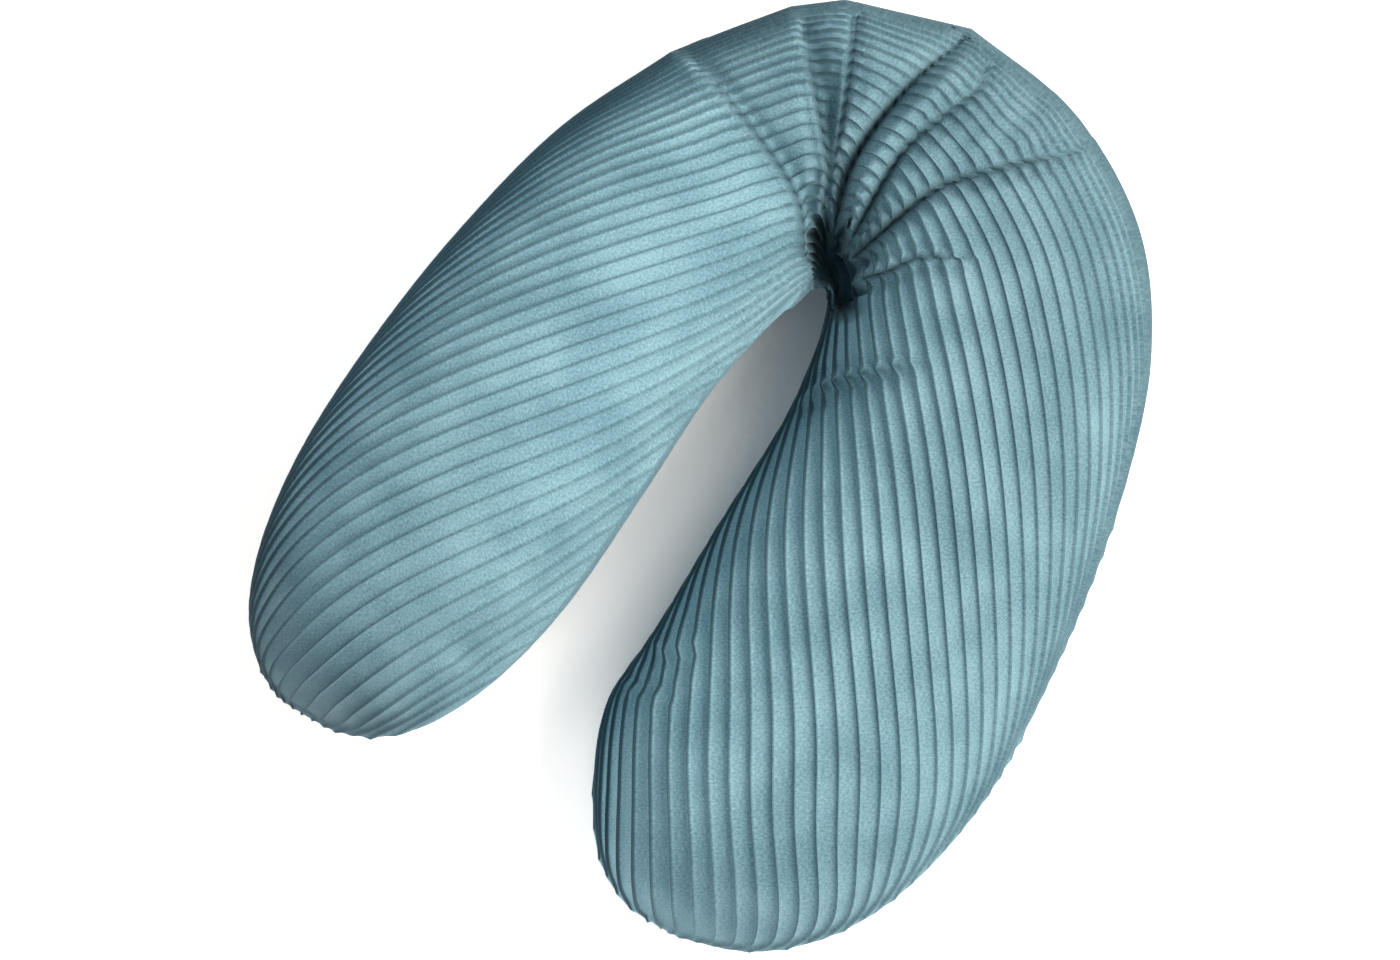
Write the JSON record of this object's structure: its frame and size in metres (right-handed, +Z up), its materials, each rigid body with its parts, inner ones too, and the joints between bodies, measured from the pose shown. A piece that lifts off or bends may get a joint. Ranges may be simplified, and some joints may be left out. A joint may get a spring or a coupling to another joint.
{
  "type": "pregnancy pillow",
  "caption": "Filled crescent pregnancy and nursing pillow in wide-wale corduroy, bent into a U with folds fanning out from the notch between its arms.",
  "frame": {"origin": "centre of the box's bottom face, on the surface that the pillow lies on", "axes": "+Z up through the pillow's thickness, -Y from the bend towards the open ends of the two arms, +X from the taller, narrower arm to the flatter, wider one"},
  "size_m": [0.6174, 0.7486, 0.2507],
  "materials": {
    "corduroy": "plush wide-wale corduroy, matt with a soft sheen"
  },
  "bodies": {
    "root": {"pillow": "corduroy"}
  },
  "joints": []
}
